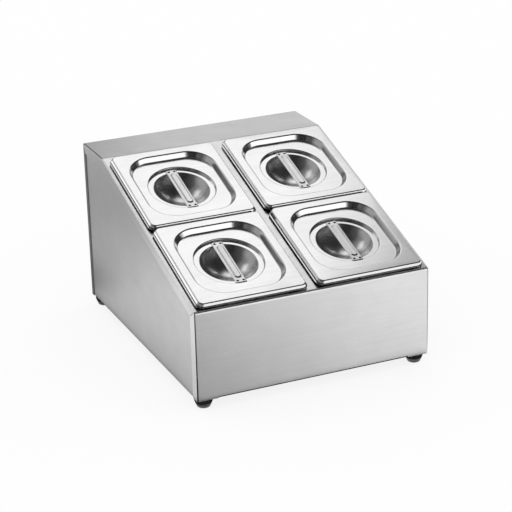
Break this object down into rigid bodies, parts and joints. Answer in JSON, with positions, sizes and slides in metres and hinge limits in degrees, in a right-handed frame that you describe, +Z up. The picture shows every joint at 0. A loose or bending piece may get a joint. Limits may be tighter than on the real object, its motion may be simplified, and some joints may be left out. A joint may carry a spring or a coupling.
{
  "type": "condiment tray",
  "caption": "Countertop condiment stand of folded stainless steel: lidded pans hang in a sloping deck and lift out, each lid pressed with a bowl and a strap handle, on rubber feet.",
  "frame": {"origin": "on the table, under the middle of the bounding box", "axes": "X right across the front, Y from front to back, Z up"},
  "size_m": [0.36, 0.44, 0.2687],
  "materials": {
    "stand_steel": "satin",
    "back_steel": "dull",
    "pan_steel": "satin",
    "lid_steel": "polished",
    "strap_steel": "satin",
    "foot_rubber": "matte",
    "fastener_steel": "plain"
  },
  "bodies": {
    "cabinet": {"top_deck": "stand_steel", "front_panel": "stand_steel", "back_panel": "back_steel", "left_side_panel": "stand_steel", "right_side_panel": "stand_steel", "front_left_foot": "foot_rubber", "front_right_foot": "foot_rubber", "back_left_foot": "foot_rubber", "back_right_foot": "foot_rubber", "foot_screws": "fastener_steel", "foot_washers": "fastener_steel", "foot_nuts": "fastener_steel"},
    "front_left_pan_body": {"front_left_pan": "pan_steel"},
    "front_left_lid_body": {"front_left_lid": "lid_steel", "front_left_lid_handle": "strap_steel"},
    "front_right_pan_body": {"front_right_pan": "pan_steel"},
    "front_right_lid_body": {"front_right_lid": "lid_steel", "front_right_lid_handle": "strap_steel"},
    "back_left_pan_body": {"back_left_pan": "pan_steel"},
    "back_left_lid_body": {"back_left_lid": "lid_steel", "back_left_lid_handle": "strap_steel"},
    "back_right_pan_body": {"back_right_pan": "pan_steel"},
    "back_right_lid_body": {"back_right_lid": "lid_steel", "back_right_lid_handle": "strap_steel"}
  },
  "joints": [
    {"name": "front_left_pan_lift", "type": "slide", "parent": "cabinet", "child": "front_left_pan_body", "axis": [0, -0.3114, 0.9503], "range_m": [0, 0.12]},
    {"name": "front_left_lid_lift", "type": "slide", "parent": "front_left_pan_body", "child": "front_left_lid_body", "axis": [0, -0.3114, 0.9503], "range_m": [0, 0.05]},
    {"name": "front_right_pan_lift", "type": "slide", "parent": "cabinet", "child": "front_right_pan_body", "axis": [0, -0.3114, 0.9503], "range_m": [0, 0.12]},
    {"name": "front_right_lid_lift", "type": "slide", "parent": "front_right_pan_body", "child": "front_right_lid_body", "axis": [0, -0.3114, 0.9503], "range_m": [0, 0.05]},
    {"name": "back_left_pan_lift", "type": "slide", "parent": "cabinet", "child": "back_left_pan_body", "axis": [0, -0.3114, 0.9503], "range_m": [0, 0.12]},
    {"name": "back_left_lid_lift", "type": "slide", "parent": "back_left_pan_body", "child": "back_left_lid_body", "axis": [0, -0.3114, 0.9503], "range_m": [0, 0.05]},
    {"name": "back_right_pan_lift", "type": "slide", "parent": "cabinet", "child": "back_right_pan_body", "axis": [0, -0.3114, 0.9503], "range_m": [0, 0.12]},
    {"name": "back_right_lid_lift", "type": "slide", "parent": "back_right_pan_body", "child": "back_right_lid_body", "axis": [0, -0.3114, 0.9503], "range_m": [0, 0.05]}
  ]
}
